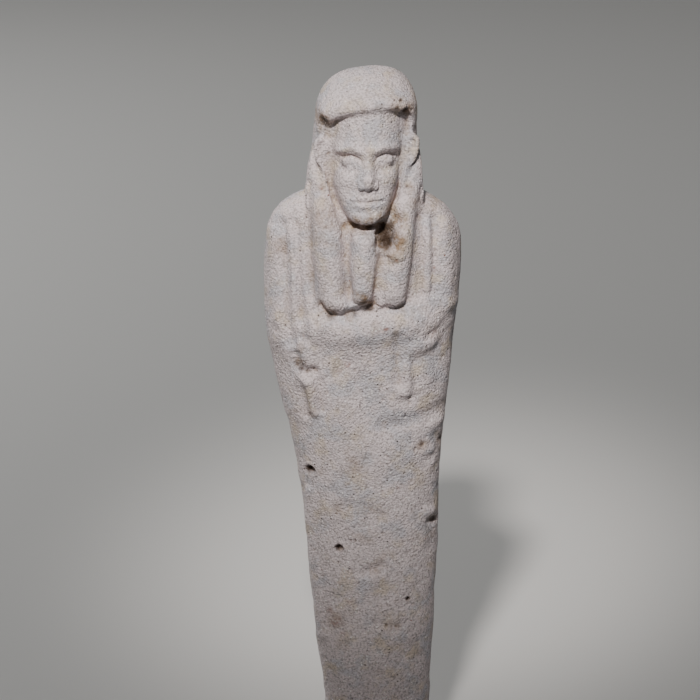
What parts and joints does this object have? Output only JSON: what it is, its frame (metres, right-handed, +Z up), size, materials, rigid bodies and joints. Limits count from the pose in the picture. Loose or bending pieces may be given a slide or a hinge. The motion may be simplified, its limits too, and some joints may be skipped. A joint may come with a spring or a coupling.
{
  "type": "mummiform funerary figurine",
  "caption": "Small worn faience mummiform figurine standing on a low plinth, in a long wig with two lappets and a false beard, arms crossed over two tools, plain pillar behind.",
  "frame": {"origin": "middle of the underside, which is the middle of the bounding box's base", "axes": "+Z up along the standing figure, +X to its own left hand, which is the viewer's right, and its face looks along -Y"},
  "size_m": [0.0274, 0.0186, 0.103],
  "materials": {
    "worn_faience": "matt, sandy cream paste that has lost its glaze, with tan dirt in its hollows"
  },
  "bodies": {
    "root": {"ushabti_figurine": "worn_faience"}
  },
  "joints": []
}
